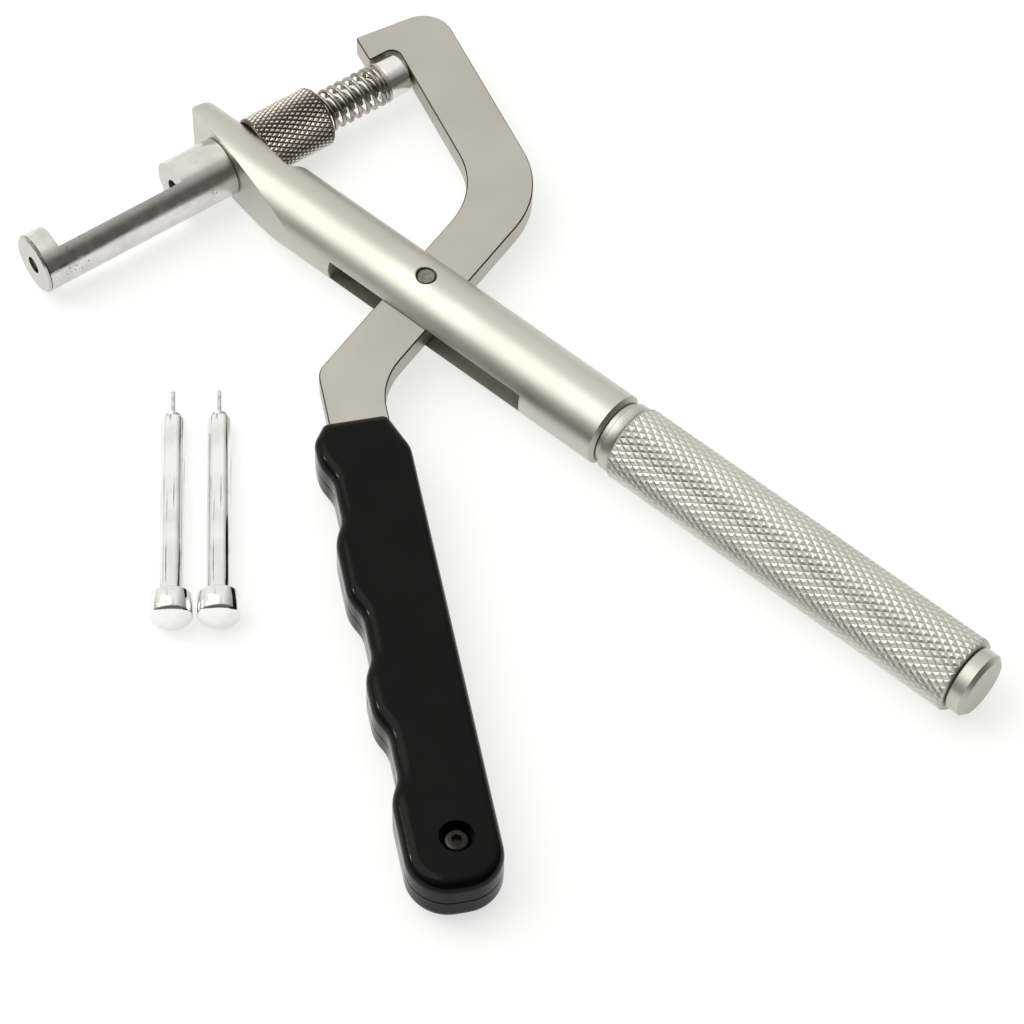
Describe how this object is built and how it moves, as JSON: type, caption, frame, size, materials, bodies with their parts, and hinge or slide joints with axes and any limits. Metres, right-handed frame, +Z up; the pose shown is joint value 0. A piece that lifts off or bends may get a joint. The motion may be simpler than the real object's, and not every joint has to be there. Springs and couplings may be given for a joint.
{
  "type": "lever-driven pin punch pliers",
  "caption": "Lever-driven pin punch on a round bar handle, with a cut-away jaw, a sprung headed punch, a hooked lever with a moulded grip, and loose spare punches.",
  "frame": {"origin": "bottom centre of the bounding box of everything, on the surface the tool lies on", "axes": "+X along the round bar towards the knurled handle's end plug, +Y towards the hook's side of the bar, +Z up, square to the lever's plane; the lever's pivot turns about +Z"},
  "size_m": [0.2164, 0.1644, 0.0164],
  "materials": {
    "satin_aluminium": "fine bead-blasted, clear anodised, satin",
    "turned_aluminium": "fine turned and brushed, bright",
    "knurled_aluminium": "diamond knurled, clear anodised",
    "plate_steel": "sheared and tumbled plate, dull nickel plated",
    "black_oxide_steel": "diamond knurled, black oxide worn bright on the peaks",
    "spring_steel": "drawn wire, nickel plated",
    "zinc_steel": "bright zinc plated",
    "polished_nickel": "polished, nickel plated",
    "needle_steel": "hardened and ground",
    "pin_steel": "plain steel, peened ends",
    "screw_steel": "dark plated",
    "grip_plastic": "moulded, satin black"
  },
  "bodies": {
    "frame": {"body_bar": "satin_aluminium", "jaw": "turned_aluminium", "pivot_pin": "pin_steel", "spring_seat_washer": "zinc_steel", "return_spring": "spring_steel"},
    "sleeve": {"locking_sleeve": "black_oxide_steel"},
    "punch": {"punch_body": "polished_nickel", "punch_needle": "needle_steel", "punch_washer": "zinc_steel"},
    "lever": {"lever_plate": "plate_steel", "grip_shell_upper": "grip_plastic", "grip_shell_lower": "grip_plastic", "grip_screw": "screw_steel", "grip_nut": "zinc_steel"},
    "handle": {"handle_tube": "knurled_aluminium", "handle_stud": "zinc_steel"},
    "plug": {"end_plug": "satin_aluminium"},
    "spare_punch_1": {"spare_punch_1_body": "polished_nickel", "spare_punch_1_needle": "needle_steel"},
    "spare_punch_2": {"spare_punch_2_body": "polished_nickel", "spare_punch_2_needle": "needle_steel"}
  },
  "joints": [
    {"name": "lever_swing", "type": "hinge", "parent": "frame", "child": "lever", "pos_m": [-0.03527, 0.0242, 0.0082], "axis": [0, 0, 1], "range_deg": [0, 13]},
    {"name": "punch_slide", "type": "slide", "parent": "frame", "child": "punch", "axis": [-0.2419, -0.9703, 0], "range_m": [0, 0.01275], "stiffness_N_per_m": 800, "springref_m": -0.005, "deforming": ["return_spring"]},
    {"name": "sleeve_turn", "type": "hinge", "parent": "frame", "child": "sleeve", "pos_m": [-0.08681, 0.03808, 0.0082], "axis": [0.2419, 0.9703, 0], "range_deg": [0, 360]},
    {"name": "handle_turn", "type": "hinge", "parent": "frame", "child": "handle", "pos_m": [0.06173, 0.0242, 0.0082], "axis": [1, 0, 0], "range_deg": [0, 360]},
    {"name": "plug_pull", "type": "slide", "parent": "handle", "child": "plug", "axis": [1, 0, 0], "range_m": [0, 0.02]},
    {"name": "spare_punch_1_lift", "type": "slide", "parent": "frame", "child": "spare_punch_1", "axis": [0, 0, 1], "range_m": [0, 0.05]},
    {"name": "spare_punch_2_lift", "type": "slide", "parent": "frame", "child": "spare_punch_2", "axis": [0, 0, 1], "range_m": [0, 0.05]}
  ],
  "couplings": [
    {"joint": "punch_slide", "follows": "lever_swing", "m_per_rad": 0.056}
  ]
}
